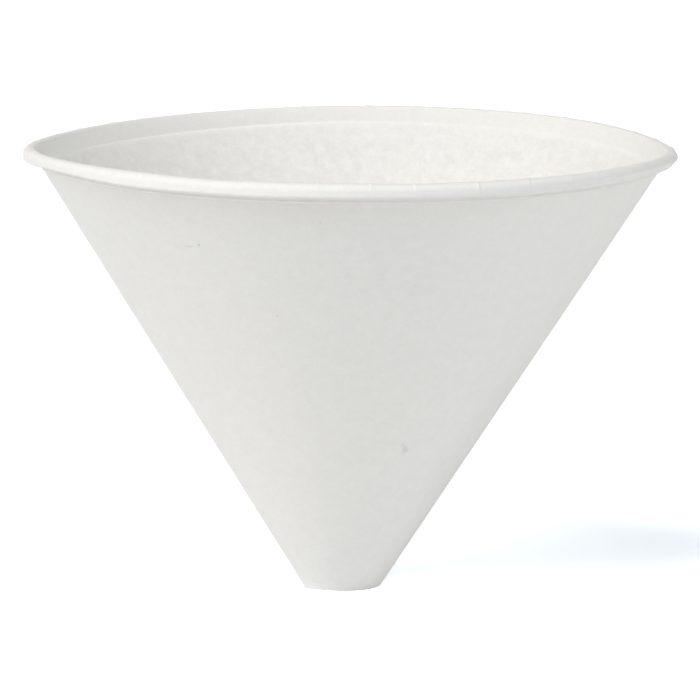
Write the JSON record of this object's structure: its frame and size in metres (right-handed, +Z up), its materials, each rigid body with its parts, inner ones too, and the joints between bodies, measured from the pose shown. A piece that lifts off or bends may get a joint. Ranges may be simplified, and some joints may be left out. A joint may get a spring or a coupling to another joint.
{
  "type": "cone paper cup with flat foot",
  "caption": "White paper cup in the form of a truncated cone, with a rolled rim, a crease under it and a small closed flat foot.",
  "frame": {"origin": "centre of the foot, on the surface that the cup stands on", "axes": "+Z up along the cup's own axis, -Y towards the viewer of the picture, and the glued side lap on the left side towards the back"},
  "size_m": [0.1174, 0.1174, 0.0805],
  "materials": {
    "white_paper": "matte"
  },
  "bodies": {
    "root": {"cup": "white_paper"}
  },
  "joints": []
}
